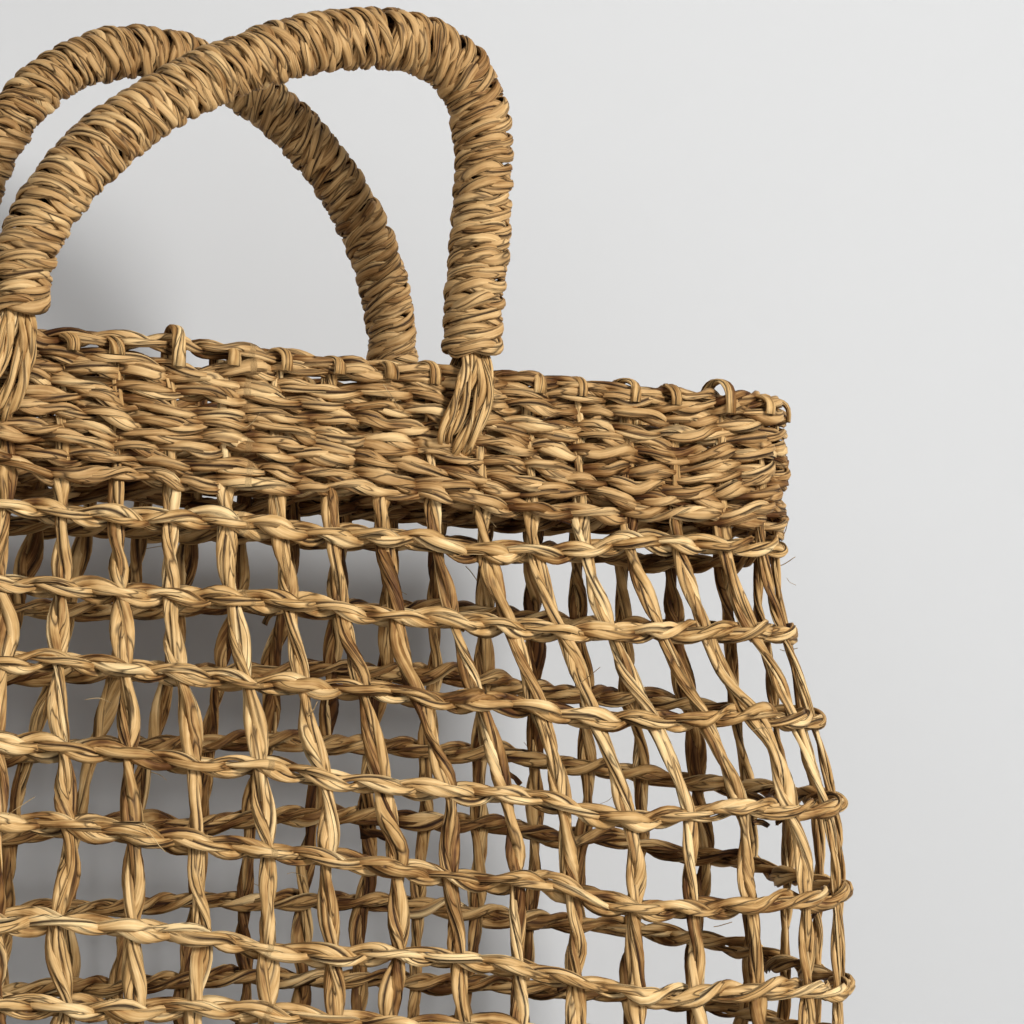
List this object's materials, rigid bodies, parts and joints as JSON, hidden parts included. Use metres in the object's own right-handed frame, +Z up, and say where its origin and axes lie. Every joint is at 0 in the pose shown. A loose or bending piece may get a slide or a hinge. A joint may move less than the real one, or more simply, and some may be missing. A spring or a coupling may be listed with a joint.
{
  "type": "woven seagrass tote basket",
  "caption": "Open-weave seagrass tote basket with a dense woven rim band, a woven base and two wrapped rope handles that swing on the rim.",
  "frame": {"origin": "middle of the base, on the surface that the basket stands on", "axes": "+Z up, +X to the right along the long side, -Y out of the front face"},
  "size_m": [0.4802, 0.145, 0.4565],
  "materials": {
    "stake_cord": "twisted seagrass cord, dry and fibrous",
    "weft_cord": "flat seagrass strands, dry, slightly satin",
    "band_weave": "tightly twined seagrass strands",
    "border_weave": "turned down seagrass ends and lashings",
    "wrap_cord": "wound two-ply seagrass cord",
    "rope_core": "rope core inside the wrapping"
  },
  "bodies": {
    "basket": {"stake_01": "stake_cord", "stake_02": "stake_cord", "stake_03": "stake_cord", "stake_04": "stake_cord", "stake_05": "stake_cord", "stake_06": "stake_cord", "stake_07": "stake_cord", "stake_08": "stake_cord", "stake_09": "stake_cord", "stake_10": "stake_cord", "stake_11": "stake_cord", "stake_12": "stake_cord", "stake_13": "stake_cord", "stake_14": "stake_cord", "stake_15": "stake_cord", "stake_16": "stake_cord", "stake_17": "stake_cord", "stake_18": "stake_cord", "stake_19": "stake_cord", "stake_20": "stake_cord", "end_stake_1": "stake_cord", "end_stake_2": "stake_cord", "end_stake_3": "stake_cord", "end_stake_4": "stake_cord", "end_stake_5": "stake_cord", "weft_row_1_outer": "weft_cord", "weft_row_1_inner": "weft_cord", "weft_row_2_outer": "weft_cord", "weft_row_2_inner": "weft_cord", "weft_row_3_outer": "weft_cord", "weft_row_3_inner": "weft_cord", "weft_row_4_outer": "weft_cord", "weft_row_4_inner": "weft_cord", "weft_row_5_outer": "weft_cord", "weft_row_5_inner": "weft_cord", "weft_row_6_outer": "weft_cord", "weft_row_6_inner": "weft_cord", "weft_row_7_outer": "weft_cord", "weft_row_7_inner": "weft_cord", "weft_row_8_outer": "weft_cord", "weft_row_8_inner": "weft_cord", "weft_row_9_outer": "weft_cord", "weft_row_9_inner": "weft_cord", "rim_band_outer": "band_weave", "rim_band_inner": "band_weave", "foot_band_outer": "band_weave", "foot_band_inner": "band_weave", "rim_border": "border_weave", "front_left_lashing": "border_weave", "front_right_lashing": "border_weave", "rear_left_lashing": "border_weave", "rear_right_lashing": "border_weave", "base_sole": "band_weave", "base_floor": "band_weave"},
    "front_handle": {"front_handle_core": "rope_core", "front_handle_wrap": "wrap_cord"},
    "rear_handle": {"rear_handle_core": "rope_core", "rear_handle_wrap": "wrap_cord"}
  },
  "joints": [
    {"name": "front_handle_swing", "type": "hinge", "parent": "basket", "child": "front_handle", "pos_m": [0, -0.0427, 0.3476], "axis": [1, 0, 0], "range_deg": [-10, 140]},
    {"name": "rear_handle_swing", "type": "hinge", "parent": "basket", "child": "rear_handle", "pos_m": [0, 0.0427, 0.3476], "axis": [-1, 0, 0], "range_deg": [-10, 140]}
  ]
}
